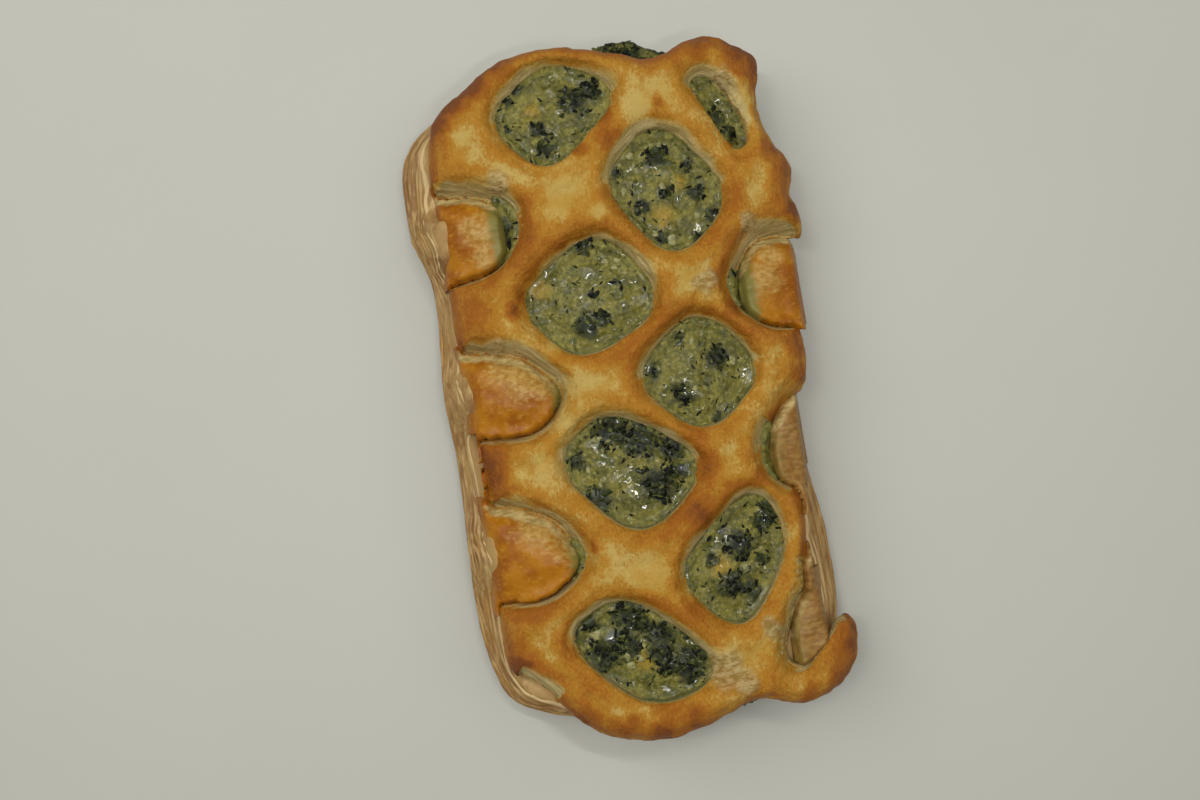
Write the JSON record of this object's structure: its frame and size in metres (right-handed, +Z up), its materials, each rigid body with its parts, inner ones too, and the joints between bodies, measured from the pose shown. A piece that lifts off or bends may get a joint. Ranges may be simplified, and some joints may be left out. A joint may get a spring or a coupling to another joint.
{
  "type": "spinach feta pastry",
  "caption": "Puff pastry parcel with a lattice top over a spinach and feta filling that shows through the openings and at both ends.",
  "frame": {"origin": "middle of the box that the pastry fills, at the height of its flat underside", "axes": "+Y along the pastry's long axis, +X to the right as it is seen from above, +Z up"},
  "size_m": [0.0848, 0.1472, 0.0288],
  "materials": {
    "flaky_pastry": "baked puff pastry, layered and matt at the cut sides",
    "spinach_feta": "moist spinach and feta filling",
    "golden_crust": "egg-washed golden pastry crust, satin"
  },
  "bodies": {
    "root": {"base": "flaky_pastry", "filling": "spinach_feta", "lattice": "golden_crust"}
  },
  "joints": []
}
